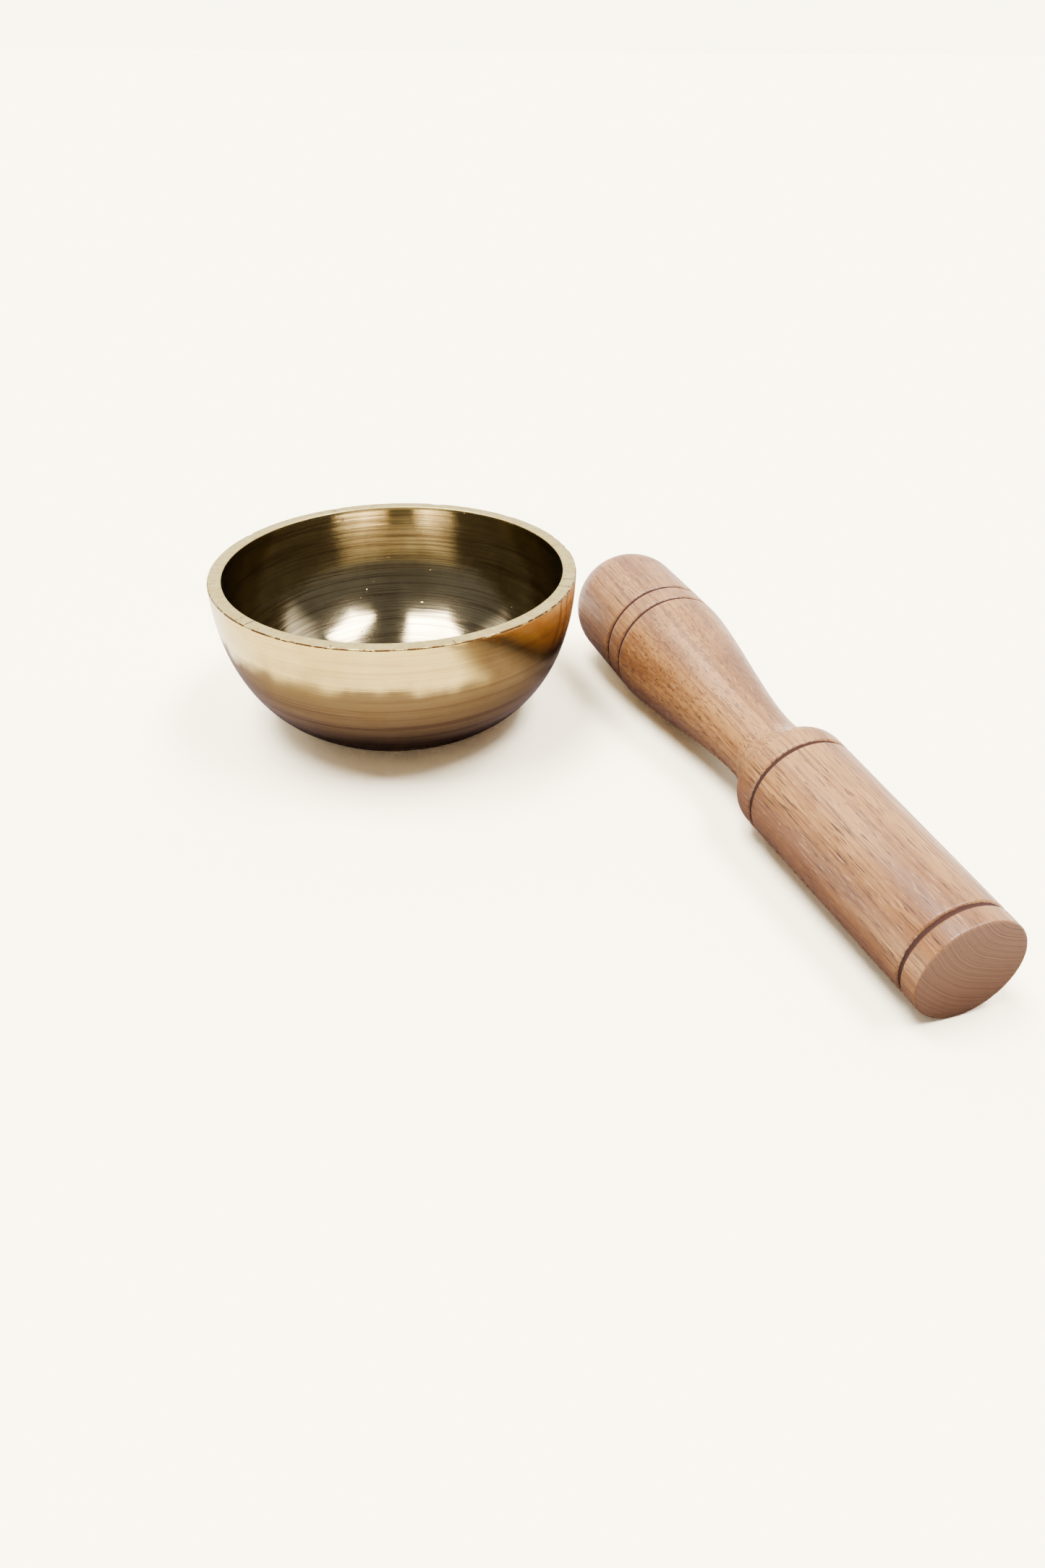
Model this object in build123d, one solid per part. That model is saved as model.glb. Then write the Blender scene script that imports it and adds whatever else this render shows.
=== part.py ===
from build123d import *
import math
import os

os.makedirs("parts", exist_ok=True)

# A brass singing bowl with its wooden striker lying on the floor beside it.
# Millimetres and degrees. +Z is up, the floor is z = 0, and the origin is the centre of the bowl's base.

# Bowl
RIM_RADIUS = 50.0
BOWL_HEIGHT = 43.0
RIM_WALL = 3.7
BASE_RADIUS = 21.5
FLOOR_THICKNESS = 4.4
WELL_RADIUS = 15.0
RIM_OUTER_CHAMFER = 0.4
RIM_INNER_CHAMFER = 0.3

# Control points of the bowl's two wall curves, as radius and height
OUTER_LOW_BEND = (37.5, 2.0)
OUTER_HIGH_BEND = (50.0, 17.0)
INNER_HIGH_BEND = (46.2, 19.0)
INNER_LOW_BEND = (34.5, 5.6)

# Striker, with lengths measured along its axis from the plain end
BARREL_END_RADIUS = 12.8
BARREL_TOP_RADIUS = 14.4
BARREL_LENGTH = 66.8
END_EASE = 0.7
SHOULDER_LENGTH = 7.5
NECK_RADIUS = 9.6
NECK_AT = 82.3
KNOB_START = 134.3
KNOB_RADIUS = 16.4
DOME_AT = 164.5
GROOVE_WIDTH = 1.5
GROOVE_DEPTH = 0.6
GROOVES_AT = (5.4, 62.6, 136.4, 143.8)

# The striker's curves: how far each control point stands from its end of the curve, across and along
SHOULDER_EASE = 3.6
SHOULDER_BEND = (3.0, 4.4)
SHOULDER_FOOT = 1.4
COVE_BEND = (0.2, 5.0)
NECK_EASE = 3.0
CONE_EASE = 13.0
CONE_BEND = (1.0, 15.0)

# Where the striker lies: the middle of its plain end, and the direction of its knob
STRIKER_END_X = 123.5
STRIKER_END_Y = -125.1
STRIKER_HEADING = 109.4


def bowl():
    """One turned casting: flat base, rounded side, upright wall, flat rim with eased edges."""
    inner_rim = RIM_RADIUS - RIM_WALL
    rim_outside = RIM_RADIUS - RIM_OUTER_CHAMFER
    rim_inside = inner_rim + RIM_INNER_CHAMFER
    outer_top = BOWL_HEIGHT - RIM_OUTER_CHAMFER
    inner_top = BOWL_HEIGHT - RIM_INNER_CHAMFER
    with BuildPart() as body:
        with BuildSketch(Plane.XZ):
            with BuildLine():
                Line((0, 0), (BASE_RADIUS, 0))
                Bezier((BASE_RADIUS, 0), OUTER_LOW_BEND, OUTER_HIGH_BEND, (RIM_RADIUS, outer_top))
                Line((RIM_RADIUS, outer_top), (rim_outside, BOWL_HEIGHT))
                Line((rim_outside, BOWL_HEIGHT), (rim_inside, BOWL_HEIGHT))
                Line((rim_inside, BOWL_HEIGHT), (inner_rim, inner_top))
                Bezier(
                    (inner_rim, inner_top),
                    INNER_HIGH_BEND,
                    INNER_LOW_BEND,
                    (WELL_RADIUS, FLOOR_THICKNESS),
                )
                Line((WELL_RADIUS, FLOOR_THICKNESS), (0, FLOOR_THICKNESS))
                Line((0, FLOOR_THICKNESS), (0, 0))
            make_face()
        revolve(axis=Axis.Z)
    return body.part


def straight_radius(along):
    """Radius of the two straight stretches: the gently tapered barrel, and the knob's band."""
    if along >= KNOB_START:
        return KNOB_RADIUS
    return BARREL_END_RADIUS + (BARREL_TOP_RADIUS - BARREL_END_RADIUS) * along / BARREL_LENGTH


def striker_blank():
    """The stick without its grooves, turned about +Z and standing on its plain end."""
    end_radius = BARREL_END_RADIUS - END_EASE
    shoulder_end = (NECK_RADIUS + SHOULDER_FOOT, BARREL_LENGTH + SHOULDER_LENGTH)
    with BuildPart() as stick:
        with BuildSketch(Plane.XZ):
            with BuildLine():
                Line((0, 0), (end_radius, 0))
                RadiusArc((end_radius, 0), (straight_radius(END_EASE), END_EASE), -END_EASE)
                Line((straight_radius(END_EASE), END_EASE), (BARREL_TOP_RADIUS, BARREL_LENGTH))
                Bezier(
                    (BARREL_TOP_RADIUS, BARREL_LENGTH),
                    (BARREL_TOP_RADIUS, BARREL_LENGTH + SHOULDER_EASE),
                    (NECK_RADIUS + SHOULDER_BEND[0], BARREL_LENGTH + SHOULDER_BEND[1]),
                    shoulder_end,
                )
                Bezier(
                    shoulder_end,
                    (NECK_RADIUS + COVE_BEND[0], NECK_AT - COVE_BEND[1]),
                    (NECK_RADIUS, NECK_AT - NECK_EASE),
                    (NECK_RADIUS, NECK_AT),
                )
                Bezier(
                    (NECK_RADIUS, NECK_AT),
                    (NECK_RADIUS, NECK_AT + CONE_EASE),
                    (KNOB_RADIUS - CONE_BEND[0], KNOB_START - CONE_BEND[1]),
                    (KNOB_RADIUS, KNOB_START),
                )
                Line((KNOB_RADIUS, KNOB_START), (KNOB_RADIUS, DOME_AT))
                RadiusArc((KNOB_RADIUS, DOME_AT), (0, DOME_AT + KNOB_RADIUS), -KNOB_RADIUS)
                Line((0, DOME_AT + KNOB_RADIUS), (0, 0))
            make_face()
        revolve(axis=Axis.Z)
    return stick.part


def groove(along):
    """A ring of round section that cuts one burnt groove into the stick."""
    radius = GROOVE_WIDTH**2 / 8 / GROOVE_DEPTH + GROOVE_DEPTH / 2
    centre = straight_radius(along) + radius - GROOVE_DEPTH
    return Pos(0, 0, along) * Torus(centre, radius)


def striker():
    """The grooved stick, laid on the floor so that it touches at its plain end and under its knob."""
    stick = striker_blank()
    for along in GROOVES_AT:
        stick = stick - groove(along)
    rise = math.degrees(math.asin((KNOB_RADIUS - straight_radius(END_EASE)) / (KNOB_START - END_EASE)))
    lying = Rot(0, 0, STRIKER_HEADING) * Rot(0, 90 - rise, 0) * stick
    return Pos(STRIKER_END_X, STRIKER_END_Y, -lying.bounding_box().min.Z) * lying


for node, solid in {"bowl": bowl(), "striker": striker()}.items():
    box = solid.bounding_box()
    print(node, round(solid.volume), box.min, box.max)
    export_step(solid, f"parts/{node}.step")
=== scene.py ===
import bpy
import math
import random
from mathutils import Matrix, Vector


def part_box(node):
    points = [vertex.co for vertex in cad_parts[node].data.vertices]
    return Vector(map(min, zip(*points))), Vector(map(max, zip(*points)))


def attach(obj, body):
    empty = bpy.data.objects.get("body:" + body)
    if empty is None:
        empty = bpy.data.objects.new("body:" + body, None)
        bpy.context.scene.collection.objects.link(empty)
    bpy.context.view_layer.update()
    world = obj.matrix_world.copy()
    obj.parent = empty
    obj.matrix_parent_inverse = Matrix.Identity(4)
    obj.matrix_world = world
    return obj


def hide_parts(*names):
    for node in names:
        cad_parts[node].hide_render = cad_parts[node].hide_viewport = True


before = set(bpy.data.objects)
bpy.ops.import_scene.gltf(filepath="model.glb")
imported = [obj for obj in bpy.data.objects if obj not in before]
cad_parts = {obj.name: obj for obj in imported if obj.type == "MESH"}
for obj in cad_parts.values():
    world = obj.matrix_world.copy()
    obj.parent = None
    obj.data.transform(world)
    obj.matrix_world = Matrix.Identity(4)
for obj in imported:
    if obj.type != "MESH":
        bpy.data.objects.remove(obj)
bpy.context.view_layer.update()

MM = 0.001
SEED = 7

# ---------------------------------------------------------------- sizes, in millimetres and degrees
bowl_low, bowl_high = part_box("bowl")
RIM_RADIUS = (bowl_high.x - bowl_low.x) / 2 / MM
BOWL_HEIGHT = bowl_high.z / MM
RIM_WALL = 3.7
BASE_RADIUS = 21.5
FLOOR_THICKNESS = 4.4
WELL_RADIUS = 15.0
RIM_OUTER_EDGE = 0.4
RIM_INNER_EDGE = 0.3

# Control points of the bowl's curves, as radius and height: its two walls, and the eased edge of its base
OUTER_LOW_BEND = (37.5, 2.0)
OUTER_HIGH_BEND = (50.0, 17.0)
INNER_HIGH_BEND = (46.2, 19.0)
INNER_LOW_BEND = (34.5, 5.6)
BASE_FLAT_END = (BASE_RADIUS - 0.6, 0.0)
BASE_EDGE_BENDS = ((BASE_RADIUS, 0.0), (BASE_RADIUS, 0.02))
WALL_FOOT = (BASE_RADIUS + 1.0, 0.14)

# Small nicks in the rim's outer edge: how many, the ranges of their depth and half width, and how far in
# from the edge they can reach
NICKS = 14
NICK_DEPTH = (0.06, 0.2)
NICK_WIDTH = (0.9, 2.2)
NICK_REACH = 1.0

# Scratches across the rim, as angle round it, inner and outer radius, and half width
SCRATCHES = (
    (228.0, 46.4, 50.0, 0.34),
    (223.5, 47.4, 49.8, 0.24),
    (351.0, 46.6, 50.0, 0.3),
    (345.0, 46.4, 50.0, 0.3),
    (293.0, 48.2, 50.0, 0.24),
    (258.0, 48.6, 50.0, 0.2),
    (118.0, 47.0, 49.8, 0.26),
    (20.0, 46.4, 48.6, 0.24),
)

# Striker, with lengths measured along its axis from the plain end
BARREL_END_RADIUS = 12.8
BARREL_TOP_RADIUS = 14.4
BARREL_LENGTH = 66.8
END_EASE = 0.7
SHOULDER_LENGTH = 7.5
NECK_RADIUS = 9.6
NECK_AT = 82.3
KNOB_START = 134.3
KNOB_RADIUS = 16.4
DOME_AT = 164.5
GROOVE_WIDTH = 1.5
GROOVE_DEPTH = 0.6
GROOVES_AT = (5.4, 62.6, 136.4, 143.8)

# The striker's curves: how far each control point stands from its end of the curve, across and along
SHOULDER_EASE = 3.6
SHOULDER_BEND = (3.0, 4.4)
SHOULDER_FOOT = 1.4
COVE_BEND = (0.2, 5.0)
NECK_EASE = 3.0
CONE_EASE = 13.0
CONE_BEND = (1.0, 15.0)

# Where the striker lies: the middle of its plain end, and the direction of its knob
STRIKER_END = (123.5, -125.1)
STRIKER_HEADING = 109.4

# Wood, in the striker's own frame: how far the tree's middle is from the stick's axis, and where the one
# knot is, near the top of the knob
PITH = (24.0, 15.0)
KNOT = (-14.5, -3.0, 163.0)

# How many flat sides each turned mesh has round it
BOWL_SEGMENTS = 320
STRIKER_SEGMENTS = 160

# The photograph's camera, and how far it looks down and is rolled
SENSOR = 36.0
LENS = 24.9
CAMERA_PLACE = (35.7, -279.3, 161.3)
CAMERA_DOWN = 34.26
CAMERA_ROLL = 0.42

# ---------------------------------------------------------------- light, backdrop and floor
# The dome: its brightness away from the lights, a bright band at the horizon and a glow behind, each between
# two heights of the direction, and the softboxes as left, right, near, far and brightness. A softbox's place
# is where a direction meets a ceiling one unit up, and directions below CEILING_END count as that low.
DOME_LIGHT = 0.18
HORIZON = (0.02, 0.06)
HORIZON_LIGHT = 8.0
GLOW = (0.22, 0.72)
GLOW_LIGHT = 2.7
GLOW_SOFTNESS = 0.08
SOFTBOXES = ((-0.53, -0.09, -0.3, 0.36, 37.0), (0.29, 0.6, -0.3, 0.36, 37.0))
CEILING_END = 0.02
LIGHT_COLOUR = (1.0, 0.975, 0.94, 1)

# What the camera sees of the backdrop and the floor
BACKDROP = 9.0
BACKDROP_COLOUR = (1.0, 0.89, 0.64, 1)
FLOOR_SEEN = (1.98, 1.8, 1.32, 1)

# The floor as it lights and reflects in the object: its colours far off and close by, the two distances
# between which one becomes the other, round the bowl's axis and beside the striker's, how far the bowl's
# border wavers, and where the strip along the striker starts and how soft its ends are
FLOOR_FAR = (0.92, 0.89, 0.82, 1)
# The close-by colour is painted shade: it darkens the floor that the bowl's lower wall reflects and that
# lights the striker's underside.
FLOOR_NEAR_SHADE = (0.16, 0.13, 0.14, 1)
NEAR_BOWL = (86.0, 96.0)
NEAR_STRIKER = (30.0, 54.0)
BORDER_WAVER = 30.0
STRIP_START = -20.0
STRIP_SOFTNESS = 15.0
FLOOR_HALF_SIDE = 40.0  # metres


# ---------------------------------------------------------------- node helpers
def srgb(red, green, blue):
    """A linear colour from one given as 0 to 255 on screen."""
    def linear(value):
        value /= 255
        return value / 12.92 if value <= 0.04045 else ((value + 0.055) / 1.055) ** 2.4
    return (linear(red), linear(green), linear(blue), 1.0)


class Nodes:
    """Short calls that add nodes to a tree."""

    def __init__(self, tree):
        self.tree = tree

    def add(self, kind, **settings):
        made = self.tree.nodes.new(kind)
        for key, value in settings.items():
            setattr(made, key, value)
        return made

    def join(self, value, socket):
        """Feed a socket from another socket or with a plain value."""
        if isinstance(value, bpy.types.NodeSocket):
            self.tree.links.new(value, socket)
        else:
            socket.default_value = value

    def maths(self, operation, *values):
        made = self.add("ShaderNodeMath", operation=operation)
        for value, socket in zip(values, made.inputs):
            self.join(value, socket)
        return made.outputs[0]

    def square(self, value):
        return self.maths("MULTIPLY", value, value)

    def weighted(self, first, by, second, also_by):
        """The sum of two values, each times its own number."""
        return self.maths("ADD", self.maths("MULTIPLY", first, by), self.maths("MULTIPLY", second, also_by))

    def vector(self, x, y, z):
        made = self.add("ShaderNodeCombineXYZ")
        for value, socket in zip((x, y, z), made.inputs):
            self.join(value, socket)
        return made.outputs[0]

    def noise(self, place, scale=1.0, detail=2.0, roughness=0.5):
        made = self.add("ShaderNodeTexNoise")
        given = {"Vector": place, "Scale": scale, "Detail": detail, "Roughness": roughness}
        for key, value in given.items():
            self.join(value, made.inputs[key])
        return made.outputs["Fac"]

    def cells(self, place, scale):
        """Distance to the nearest of a scatter of points."""
        made = self.add("ShaderNodeTexVoronoi")
        self.join(place, made.inputs["Vector"])
        self.join(scale, made.inputs["Scale"])
        return made.outputs["Distance"]

    def fade(self, value, start, end, low=0.0, high=1.0):
        """From low to high, smoothly, as the value goes from start to end."""
        made = self.add("ShaderNodeMapRange", interpolation_type="SMOOTHSTEP")
        given = {"Value": value, "From Min": start, "From Max": end, "To Min": low, "To Max": high}
        for key, number in given.items():
            self.join(number, made.inputs[key])
        return made.outputs[0]

    def window(self, value, low, high, softness=0.03):
        """One between low and high, and nothing outside, with soft edges."""
        rising = self.fade(value, low - softness, low + softness)
        falling = self.fade(value, high - softness, high + softness, 1.0, 0.0)
        return self.maths("MULTIPLY", rising, falling)

    def blend(self, factor, first, second):
        """From the first colour to the second as the factor goes from 0 to 1."""
        made = self.add("ShaderNodeMix", data_type="RGBA")
        self.join(factor, made.inputs["Factor"])
        self.join(first, made.inputs[6])
        self.join(second, made.inputs[7])
        return made.outputs[2]

    def bump(self, height, distance, normal=None):
        """A bump as high as this distance in millimetres, on top of another normal if one is given."""
        made = self.add("ShaderNodeBump")
        self.join(distance * MM, made.inputs["Distance"])
        self.join(height, made.inputs["Height"])
        if normal is not None:
            self.join(normal, made.inputs["Normal"])
        return made.outputs[0]


class Finish(Nodes):
    """A material with a Principled shader. Its x, y and z are the piece's own, in millimetres; a piece that
    was turned and moved into place gives the matrix that did it."""

    def __init__(self, name, placed=Matrix()):
        self.material = bpy.data.materials.new(name)
        self.material.use_nodes = True
        super().__init__(self.material.node_tree)
        self.shader = self.tree.nodes["Principled BSDF"]
        own = self.add("ShaderNodeMapping", vector_type="TEXTURE")
        own.inputs["Location"].default_value = placed.to_translation()
        own.inputs["Rotation"].default_value = placed.to_euler()
        self.join(self.add("ShaderNodeTexCoord").outputs["Object"], own.inputs["Vector"])
        scaled = self.add("ShaderNodeVectorMath", operation="SCALE")
        scaled.inputs["Scale"].default_value = 1 / MM
        self.join(own.outputs[0], scaled.inputs[0])
        split = self.add("ShaderNodeSeparateXYZ")
        self.join(scaled.outputs[0], split.inputs[0])
        self.x, self.y, self.z = split.outputs
        self.place = scaled.outputs[0]
        self.radius = self.maths("SQRT", self.maths("ADD", self.square(self.x), self.square(self.y)))

    def length(self, vector, start=(0.0, 0.0, 0.0)):
        """How far a position is from a start."""
        made = self.add("ShaderNodeVectorMath", operation="DISTANCE")
        self.join(vector, made.inputs[0])
        self.join(start, made.inputs[1])
        return made.outputs["Value"]

    def stretched(self, x, y, z, third=None):
        """Position in millimetres times a scale on each axis; third takes the place of z."""
        along = self.z if third is None else third
        return self.vector(
            self.maths("MULTIPLY", self.x, x),
            self.maths("MULTIPLY", self.y, y),
            self.maths("MULTIPLY", along, z),
        )

    def set(self, **sockets):
        """Feed the shader's sockets, named with _ for a space, and give the finished material."""
        for key, value in sockets.items():
            self.join(value, self.shader.inputs[key.replace("_", " ")])
        return self.material


# ---------------------------------------------------------------- brass
def turned_lines(finish, pitch, detail=3.0):
    """Rings left by the lathe tool: nearly the same all round at one place on the wall."""
    along = finish.maths("ADD", finish.radius, finish.z)
    return finish.noise(finish.stretched(0.014, 0.014, 1 / pitch, along), detail=detail, roughness=0.65)


def brushed(finish, amount):
    """The shine spreads across the turned lines."""
    finish.shader.inputs["Anisotropic"].default_value = amount
    finish.shader.inputs["Anisotropic Rotation"].default_value = 0.25
    around = finish.add("ShaderNodeTangent", direction_type="RADIAL", axis="Z")
    finish.join(around.outputs[0], finish.shader.inputs["Tangent"])


def outer_brass():
    """Polished yellow brass with turning lines. Towards the base it is painted rosier and browner, with
    stronger brown streaks along the turning lines: painted reflection of darker surroundings, over the real
    turning lines.
    """
    gold, deep_gold = srgb(208, 182, 112), srgb(196, 168, 96)
    rosy_reflection_tint, line_gold, streak_and_reflection_brown = srgb(180, 154, 126), srgb(164, 130, 70), srgb(132, 100, 72)
    finish = Finish("brass_polished_wall")
    broad = turned_lines(finish, 1.6)
    fine = turned_lines(finish, 0.35, 2.0)
    haze = finish.noise(finish.place, 0.09, 3.0)
    # How much painted reflection there is low down: full at the base, none from 32 mm up.
    low = finish.fade(finish.z, 6.0, 32.0, 1.0, 0.0)
    tint = finish.blend(finish.fade(haze, 0.35, 0.7), gold, deep_gold)
    # Painted reflection: a rosy tint that grows towards the base.
    tint = finish.blend(finish.maths("MULTIPLY", low, 0.8), tint, rosy_reflection_tint)
    tint = finish.blend(finish.fade(fine, 0.52, 0.7, 0, 0.5), tint, line_gold)
    # The brown streaks follow the real turning lines, and low down they are stronger as painted reflection.
    streaked = finish.maths("MULTIPLY", finish.fade(broad, 0.5, 0.62), finish.fade(low, 0.0, 0.5, 0.2, 0.6))
    tint = finish.blend(streaked, tint, streak_and_reflection_brown)
    normal = finish.bump(broad, 0.014)
    normal = finish.bump(turned_lines(finish, 0.8), 0.007, normal)
    normal = finish.bump(fine, 0.003, normal)
    brushed(finish, 0.7)
    roughness = finish.fade(haze, 0.3, 0.75, 0.1, 0.2)
    return finish.set(Base_Color=tint, Metallic=1.0, Roughness=roughness, Normal=normal)


def inner_brass():
    """Darker brass with deeper turned rings and a few pits."""
    pale, dull = srgb(194, 180, 142), srgb(174, 158, 120)
    line_brown, ring_brown = srgb(124, 104, 78), srgb(112, 90, 64)
    finish = Finish("brass_turned_inside")
    broad = turned_lines(finish, 2.2)
    fine = turned_lines(finish, 0.5)
    haze = finish.noise(finish.place, 0.07, 3.0)
    pits = finish.fade(finish.cells(finish.place, 0.16), 0.05, 0.09, 1.0, 0.0)
    tint = finish.blend(finish.fade(haze, 0.35, 0.7), pale, dull)
    tint = finish.blend(finish.fade(fine, 0.48, 0.66, 0, 0.8), tint, line_brown)
    tint = finish.blend(finish.fade(broad, 0.52, 0.62, 0, 0.5), tint, ring_brown)
    normal = finish.bump(broad, 0.03)
    normal = finish.bump(turned_lines(finish, 1.0), 0.016, normal)
    normal = finish.bump(fine, 0.008, normal)
    normal = finish.bump(pits, 0.05, normal)
    brushed(finish, 0.8)
    roughness = finish.fade(fine, 0.3, 0.75, 0.09, 0.17)
    return finish.set(Base_Color=tint, Metallic=1.0, Roughness=roughness, Normal=normal)


def scratch(finish, turn, inside, outside, width):
    """One across the rim at this angle round it, between two radii, with a ragged edge."""
    cosine, sine = math.cos(math.radians(turn)), math.sin(math.radians(turn))
    along = finish.weighted(finish.x, cosine, finish.y, sine)
    aside = finish.weighted(finish.y, cosine, finish.x, -sine)
    aside = finish.maths("ADD", aside, finish.noise(finish.place, 1.1))
    aside = finish.maths("ABSOLUTE", finish.maths("SUBTRACT", aside, 0.5))
    line = finish.fade(aside, width * 0.4, width, 1.0, 0.0)
    return finish.maths("MULTIPLY", line, finish.window(along, inside, outside, 0.3))


def rim_brass():
    """Satin brass, mottled and specked, with scratches and a broken dark line round its outer edge."""
    gold, deep_gold = srgb(210, 190, 124), srgb(184, 162, 98)
    speck_brown, scratch_brown, edge_line_brown = srgb(136, 112, 72), srgb(58, 40, 24), srgb(84, 58, 34)
    finish = Finish("brass_satin_rim")
    mottle = finish.noise(finish.place, 0.55, 4.0, 0.65)
    speck = finish.noise(finish.place, 3.0, 3.0, 0.7)
    tint = finish.blend(finish.fade(mottle, 0.35, 0.7), gold, deep_gold)
    tint = finish.blend(finish.fade(speck, 0.6, 0.72, 0, 0.7), tint, speck_brown)
    marks = 0.0
    for turn, inside, outside, width in SCRATCHES:
        marks = finish.maths("MAXIMUM", marks, scratch(finish, turn, inside, outside, width))
    tint = finish.blend(finish.maths("MULTIPLY", marks, 0.95), tint, scratch_brown)
    # A broken dark line painted round the rounded outer edge.
    broken = finish.noise(finish.place, 0.35, 4.0, 0.7)
    edge_line = finish.fade(finish.radius, RIM_RADIUS - 0.4, RIM_RADIUS - 0.2)
    edge_line = finish.maths("MULTIPLY", edge_line, finish.fade(broken, 0.4, 0.52, 0.25, 1.0))
    tint = finish.blend(edge_line, tint, edge_line_brown)
    normal = finish.bump(mottle, 0.03)
    normal = finish.bump(speck, 0.015, normal)
    normal = finish.bump(finish.maths("SUBTRACT", 1.0, marks), 0.06, normal)
    roughness = finish.fade(mottle, 0.3, 0.7, 0.32, 0.46)
    return finish.set(Base_Color=tint, Metallic=1.0, Roughness=roughness, Normal=normal)


# ---------------------------------------------------------------- wood
def end_grain(finish, off_pith, wander):
    """Colour of the plain end: close rings round the same pith, and dots where the pores are cut across."""
    growth = finish.weighted(off_pith, 2.6, wander, 6.0)
    rings = finish.noise(finish.vector(growth, 0.0, 3.0), detail=3.0, roughness=0.65)
    dots = finish.noise(finish.stretched(4.2, 4.2, 0.0), detail=3.0)
    tint = finish.blend(finish.fade(rings, 0.36, 0.66), srgb(126, 86, 54), srgb(92, 58, 37))
    return finish.blend(finish.fade(dots, 0.54, 0.68, 0, 0.6), tint, srgb(68, 42, 28))


def burnt_grooves(finish, ragged):
    """One in the grooves and nothing elsewhere, with a ragged edge."""
    burnt = 0.0
    for along in GROOVES_AT:
        away = finish.maths("ABSOLUTE", finish.maths("SUBTRACT", finish.z, along))
        away = finish.maths("ADD", away, finish.maths("MULTIPLY", ragged, 0.35))
        burnt = finish.maths("MAXIMUM", burnt, finish.fade(away, 0.62, 0.86, 1.0, 0.0))
    return burnt


def wood(placed):
    """Bare turned wood: growth layers round a pith outside the stick, streaks along it, and open pores."""
    finish = Finish("striker_wood", placed)
    wander = finish.noise(finish.stretched(0.06, 0.06, 0.009))
    from_pith = finish.maths("ADD", finish.x, PITH[0]), finish.maths("ADD", finish.y, PITH[1])
    off_pith = finish.length(finish.vector(*from_pith, 0.0))
    growth = finish.weighted(off_pith, 0.75, wander, 5.0)
    layers = finish.noise(finish.vector(growth, 0.0, 0.0), detail=3.0, roughness=0.6)
    long_tone = finish.noise(finish.stretched(0.09, 0.09, 0.012), detail=3.0, roughness=0.55)
    streaks = finish.noise(finish.stretched(2.2, 2.2, 0.035), detail=3.0, roughness=0.6)
    pores = finish.noise(finish.stretched(3.6, 3.6, 0.15))
    flecks_and_sheen = finish.noise(finish.stretched(2.8, 2.8, 0.25), roughness=0.6)
    ripples = finish.noise(finish.stretched(0.22, 0.22, 0.8))

    tint = finish.blend(finish.fade(long_tone, 0.38, 0.62), srgb(174, 125, 72), srgb(126, 81, 42))
    tint = finish.blend(finish.fade(layers, 0.46, 0.62, 0, 0.65), tint, srgb(116, 72, 41))
    tint = finish.blend(finish.fade(streaks, 0.52, 0.64, 0, 0.6), tint, srgb(96, 58, 34))
    # Lighter flecks along the grain: partly the wood's own, partly painted sheen.
    tint = finish.blend(finish.fade(flecks_and_sheen, 0.58, 0.7, 0, 0.4), tint, srgb(204, 160, 118))
    on_cone = finish.fade(finish.z, NECK_AT, KNOB_START)
    rippled = finish.maths("MULTIPLY", finish.fade(ripples, 0.5, 0.66, 0, 0.3), on_cone)
    tint = finish.blend(rippled, tint, srgb(112, 66, 38))
    tint = finish.blend(finish.fade(pores, 0.59, 0.66, 0, 0.9), tint, srgb(56, 32, 20))
    knot = finish.fade(finish.length(finish.place, KNOT), 0.8, 3.4, 0.6, 0.0)
    tint = finish.blend(knot, tint, srgb(112, 54, 28))

    end = finish.fade(finish.z, 0.15, 0.5, 1.0, 0.0)
    tint = finish.blend(end, tint, end_grain(finish, off_pith, wander))
    ragged = finish.noise(finish.place, 1.4, 3.0)
    burnt = burnt_grooves(finish, ragged)
    tint = finish.blend(burnt, tint, finish.blend(ragged, srgb(66, 32, 20), srgb(38, 19, 12)))

    normal = finish.bump(pores, 0.05)
    normal = finish.bump(streaks, 0.05, normal)
    dull = finish.maths("MAXIMUM", burnt, finish.maths("MULTIPLY", end, 0.7))
    roughness = finish.maths("MAXIMUM", finish.fade(streaks, 0.3, 0.75, 0.3, 0.48), dull)
    return finish.set(Base_Color=tint, Roughness=roughness, Normal=normal)


# ---------------------------------------------------------------- turned meshes
def add_object(name, data):
    made = bpy.data.objects.new(name, data)
    bpy.context.scene.collection.objects.link(made)
    return made


def bezier(points, steps):
    """Points along a cubic curve, without its first point."""
    first, second, third, fourth = (Vector(p) for p in points)
    found = []
    for step in range(1, steps + 1):
        t = step / steps
        s = 1 - t
        found.append(first * s**3 + second * 3 * s * s * t + third * 3 * s * t * t + fourth * t**3)
    return found


def straight(start, end, steps):
    """Points along a straight line, without its first point."""
    start, end = Vector(start), Vector(end)
    return [start.lerp(end, step / steps) for step in range(1, steps + 1)]


def arc(centre, radius, start, end, steps):
    """Points on an arc, by angle in degrees, without its first point."""
    found = []
    for step in range(1, steps + 1):
        angle = math.radians(start + (end - start) * step / steps)
        found.append(Vector((centre[0] + radius * math.cos(angle), centre[1] + radius * math.sin(angle))))
    return found


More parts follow.
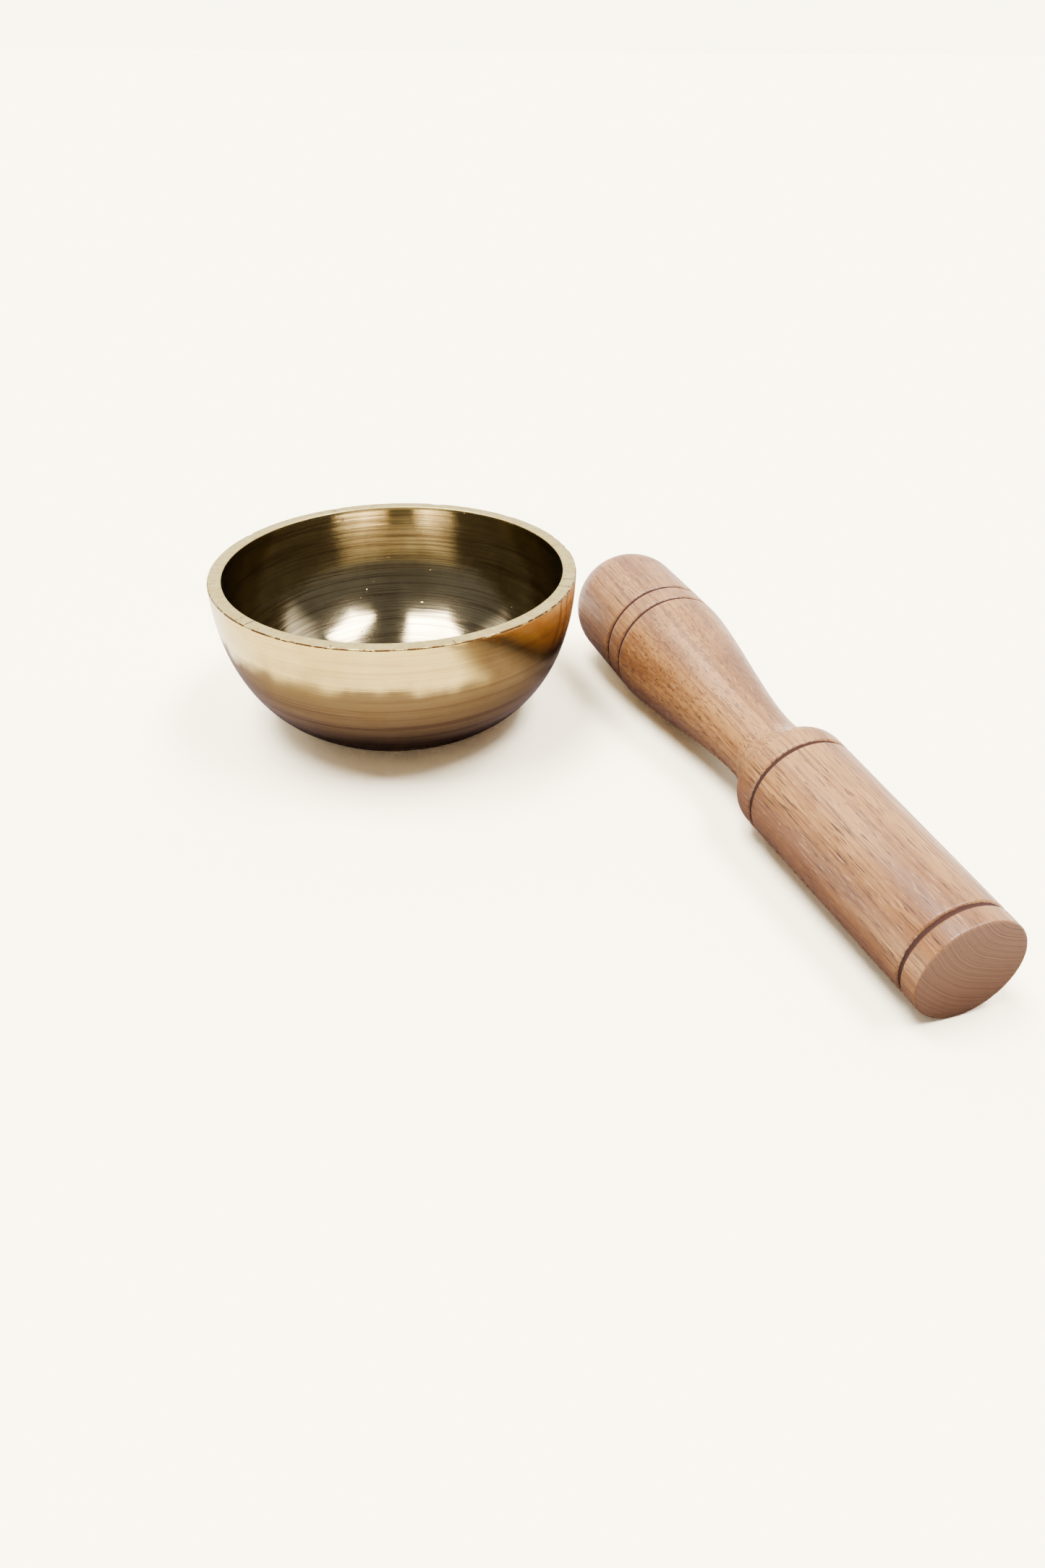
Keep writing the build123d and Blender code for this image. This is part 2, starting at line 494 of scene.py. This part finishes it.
def turned(name, profile, segments, slots):
    """A closed solid of revolution about Z. Each profile point is (radius, height), and the first and last
    are on the axis. slots gives the material slot of each stretch between two points."""
    rings, points = [], []
    for radius, height in profile:
        if radius < 1e-6:
            rings.append([len(points)])
            points.append((0.0, 0.0, height * MM))
            continue
        rings.append(list(range(len(points), len(points) + segments)))
        for step in range(segments):
            angle = math.tau * step / segments
            points.append((radius * math.cos(angle) * MM, radius * math.sin(angle) * MM, height * MM))
    faces, marks = [], []
    for slot, lower, upper in zip(slots, rings, rings[1:]):
        for step in range(segments):
            after = (step + 1) % segments
            face = []
            for ring, place in ((lower, step), (lower, after), (upper, after), (upper, step)):
                corner = ring[place % len(ring)]
                if corner not in face:
                    face.append(corner)
            faces.append(face)
            marks.append(slot)
    mesh = bpy.data.meshes.new(name)
    mesh.from_pydata(points, [], faces)
    mesh.polygons.foreach_set("material_index", marks)
    mesh.polygons.foreach_set("use_smooth", [True] * len(faces))
    mesh.update()
    return add_object(name, mesh)


# ---------------------------------------------------------------- bowl
OUTER, RIM, INNER = range(3)


def nick(mesh, turn, depth, width):
    """Press a small dent into the rim's outer edge at this angle round it."""
    for vertex in mesh.vertices:
        radius = math.hypot(vertex.co.x, vertex.co.y) / MM
        if vertex.co.z / MM < BOWL_HEIGHT - NICK_REACH or radius < RIM_RADIUS - NICK_REACH:
            continue
        aside = abs(math.remainder(math.atan2(vertex.co.y, vertex.co.x) - turn, math.tau)) * RIM_RADIUS
        if aside < width:
            press = depth * (1 - (aside / width)**2) * MM
            vertex.co.z -= press
            vertex.co.x -= press * math.cos(turn)
            vertex.co.y -= press * math.sin(turn)


def bowl():
    """The turned casting, with rounded edges and a few small nicks on the rim."""
    inner_rim = RIM_RADIUS - RIM_WALL
    outer_top = BOWL_HEIGHT - RIM_OUTER_EDGE
    inner_top = BOWL_HEIGHT - RIM_INNER_EDGE
    rim_outside = RIM_RADIUS - RIM_OUTER_EDGE
    rim_inside = inner_rim + RIM_INNER_EDGE
    well_edge = (WELL_RADIUS, FLOOR_THICKNESS)
    stretches = (
        (OUTER, straight((0, 0), BASE_FLAT_END, 10)),
        (OUTER, bezier((BASE_FLAT_END, *BASE_EDGE_BENDS, WALL_FOOT), 5)),
        (OUTER, bezier((WALL_FOOT, OUTER_LOW_BEND, OUTER_HIGH_BEND, (RIM_RADIUS, outer_top)), 90)),
        (RIM, arc((rim_outside, outer_top), RIM_OUTER_EDGE, 0, 90, 5)),
        (RIM, straight((rim_outside, BOWL_HEIGHT), (rim_inside, BOWL_HEIGHT), 10)),
        (RIM, arc((rim_inside, inner_top), RIM_INNER_EDGE, 90, 180, 4)),
        (INNER, bezier(((inner_rim, inner_top), INNER_HIGH_BEND, INNER_LOW_BEND, well_edge), 90)),
        (INNER, straight(well_edge, (0, FLOOR_THICKNESS), 10)),
    )
    profile, slots = [Vector((0, 0))], []
    for slot, stretch in stretches:
        profile += stretch
        slots += [slot] * len(stretch)
    piece = turned("bowl_turned", profile, BOWL_SEGMENTS, slots)
    for _ in range(NICKS):
        turn = random.uniform(0, math.tau)
        depth = random.uniform(*NICK_DEPTH)
        width = random.uniform(*NICK_WIDTH)
        nick(piece.data, turn, depth, width)
    for material in (outer_brass(), rim_brass(), inner_brass()):
        piece.data.materials.append(material)
    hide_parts("bowl")
    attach(piece, "bowl_body")


# ---------------------------------------------------------------- striker
def barrel_radius(along):
    """Radius of the gently tapered barrel at this distance from the plain end."""
    return BARREL_END_RADIUS + (BARREL_TOP_RADIUS - BARREL_END_RADIUS) * along / BARREL_LENGTH


def striker_profile():
    """The stick's outline from the middle of its plain end to the tip of its knob, without grooves."""
    end_radius = barrel_radius(END_EASE)
    barrel_top = (BARREL_TOP_RADIUS, BARREL_LENGTH)
    neck = (NECK_RADIUS, NECK_AT)
    shoulder_end = (NECK_RADIUS + SHOULDER_FOOT, BARREL_LENGTH + SHOULDER_LENGTH)
    shoulder_bends = (
        (BARREL_TOP_RADIUS, BARREL_LENGTH + SHOULDER_EASE),
        (NECK_RADIUS + SHOULDER_BEND[0], BARREL_LENGTH + SHOULDER_BEND[1]),
    )
    cove_bends = (
        (NECK_RADIUS + COVE_BEND[0], NECK_AT - COVE_BEND[1]),
        (NECK_RADIUS, NECK_AT - NECK_EASE),
    )
    cone_bends = (
        (NECK_RADIUS, NECK_AT + CONE_EASE),
        (KNOB_RADIUS - CONE_BEND[0], KNOB_START - CONE_BEND[1]),
    )
    outline = [Vector((0, 0))]
    outline += straight((0, 0), (end_radius - END_EASE, 0), 10)
    outline += arc((end_radius - END_EASE, END_EASE), END_EASE, -90, 0, 6)
    outline += straight((end_radius, END_EASE), barrel_top, 260)
    outline += bezier((barrel_top, *shoulder_bends, shoulder_end), 22)
    outline += bezier((shoulder_end, *cove_bends, neck), 16)
    outline += bezier((neck, *cone_bends, (KNOB_RADIUS, KNOB_START)), 60)
    outline += straight((KNOB_RADIUS, KNOB_START), (KNOB_RADIUS, DOME_AT), 110)
    outline += arc((0, DOME_AT), KNOB_RADIUS, 0, 90, 40)
    outline[-1] = Vector((0, DOME_AT + KNOB_RADIUS))
    return outline


def grooved(point):
    """The point of the outline, pulled in where a groove of round section passes."""
    radius, along = point
    groove_radius = GROOVE_WIDTH**2 / 8 / GROOVE_DEPTH + GROOVE_DEPTH / 2
    for centre in GROOVES_AT:
        away = abs(along - centre)
        if away < GROOVE_WIDTH / 2 and radius > NECK_RADIUS:
            radius -= math.sqrt(groove_radius**2 - away**2) - (groove_radius - GROOVE_DEPTH)
    return Vector((radius, along))


def striker():
    """The turned stick, lying on the floor on its plain end and its knob."""
    profile = [grooved(point) for point in striker_profile()]
    piece = turned("striker_turned", profile, STRIKER_SEGMENTS, [0] * len(profile))
    rise = math.asin((KNOB_RADIUS - barrel_radius(END_EASE)) / (KNOB_START - END_EASE))
    lean = Matrix.Rotation(math.pi / 2 - rise, 4, "Y")
    heading = Matrix.Rotation(math.radians(STRIKER_HEADING), 4, "Z")
    lying = heading @ lean
    lowest = min((lying @ vertex.co).z for vertex in piece.data.vertices)
    placed = Matrix.Translation(Vector((STRIKER_END[0] * MM, STRIKER_END[1] * MM, -lowest))) @ lying
    piece.data.transform(placed)
    piece.data.materials.append(wood(placed))
    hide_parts("striker")
    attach(piece, "striker_body")


# ---------------------------------------------------------------- camera, light and floor
def camera():
    """The photograph's camera."""
    data = bpy.data.cameras.new("camera")
    data.sensor_width = SENSOR
    data.lens = LENS
    data.clip_start = 0.01
    cam = add_object("camera", data)
    down = Matrix.Rotation(math.radians(90 - CAMERA_DOWN), 4, "X")
    roll = Matrix.Rotation(math.radians(CAMERA_ROLL), 4, "Z")
    cam.matrix_world = Matrix.Translation(Vector(CAMERA_PLACE) * MM) @ (down @ roll)
    bpy.context.scene.camera = cam


def light():
    """A dim studio dome with two bright softboxes overhead, a glow behind and a bright band at the horizon.
    The camera sees a plain pale backdrop in its place."""
    world = bpy.data.worlds.new("studio")
    bpy.context.scene.world = world
    world.use_nodes = True
    dome = Nodes(world.node_tree)
    split = dome.add("ShaderNodeSeparateXYZ")
    dome.join(dome.add("ShaderNodeTexCoord").outputs["Generated"], split.inputs[0])
    x, y, z = split.outputs
    height = dome.maths("MAXIMUM", z, CEILING_END)
    across = dome.maths("DIVIDE", x, height)
    ahead = dome.maths("DIVIDE", y, height)
    brightness = dome.fade(z, *HORIZON, HORIZON_LIGHT, DOME_LIGHT)
    behind = dome.maths("MULTIPLY", dome.fade(y, 0.0, 0.5), dome.window(z, *GLOW, GLOW_SOFTNESS))
    brightness = dome.maths("ADD", brightness, dome.maths("MULTIPLY", behind, GLOW_LIGHT))
    for left, right, near, far, power in SOFTBOXES:
        inside = dome.maths("MULTIPLY", dome.window(across, left, right), dome.window(ahead, near, far))
        brightness = dome.maths("ADD", brightness, dome.maths("MULTIPLY", inside, power))
    seen = dome.add("ShaderNodeLightPath").outputs["Is Camera Ray"]
    brightness = dome.fade(seen, 0.0, 1.0, brightness, BACKDROP)
    back = world.node_tree.nodes["Background"]
    dome.join(dome.blend(seen, LIGHT_COLOUR, BACKDROP_COLOUR), back.inputs["Color"])
    dome.join(brightness, back.inputs["Strength"])


def floor():
    """A pale matt floor. The camera sees it plain, and the object sees it darker close by than far off:
    painted shade round the bowl and along the striker.
    """
    side = FLOOR_HALF_SIDE
    mesh = bpy.data.meshes.new("floor")
    corners = [(-side, -side, 0), (side, -side, 0), (side, side, 0), (-side, side, 0)]
    mesh.from_pydata(corners, [], [(0, 1, 2, 3)])
    plane = add_object("floor", mesh)
    finish = Finish("pale_floor")
    waver = finish.maths("MULTIPLY", finish.noise(finish.place, 0.035, 4.0), BORDER_WAVER)
    by_bowl = finish.fade(finish.maths("ADD", finish.radius, waver), *NEAR_BOWL, 1.0, 0.0)
    heading = math.radians(STRIKER_HEADING)
    east = finish.maths("SUBTRACT", finish.x, STRIKER_END[0])
    north = finish.maths("SUBTRACT", finish.y, STRIKER_END[1])
    along = finish.weighted(east, math.cos(heading), north, math.sin(heading))
    aside = finish.maths("ABSOLUTE", finish.weighted(north, math.cos(heading), east, -math.sin(heading)))
    strip = finish.window(along, STRIP_START, KNOB_START, STRIP_SOFTNESS)
    by_striker = finish.maths("MULTIPLY", finish.fade(aside, *NEAR_STRIKER, 1.0, 0.0), strip)
    # Painted shade: the floor turns to the dark close-by colour round the bowl and along the striker.
    colour = finish.blend(finish.maths("MAXIMUM", by_bowl, by_striker), FLOOR_FAR, FLOOR_NEAR_SHADE)
    colour = finish.blend(finish.add("ShaderNodeLightPath").outputs["Is Camera Ray"], colour, FLOOR_SEEN)
    matt = finish.add("ShaderNodeBsdfDiffuse")
    finish.join(colour, matt.inputs["Color"])
    finish.join(matt.outputs[0], finish.tree.nodes["Material Output"].inputs["Surface"])
    finish.tree.nodes.remove(finish.shader)
    mesh.materials.append(finish.material)


random.seed(SEED)
camera()
light()
floor()
bowl()
striker()
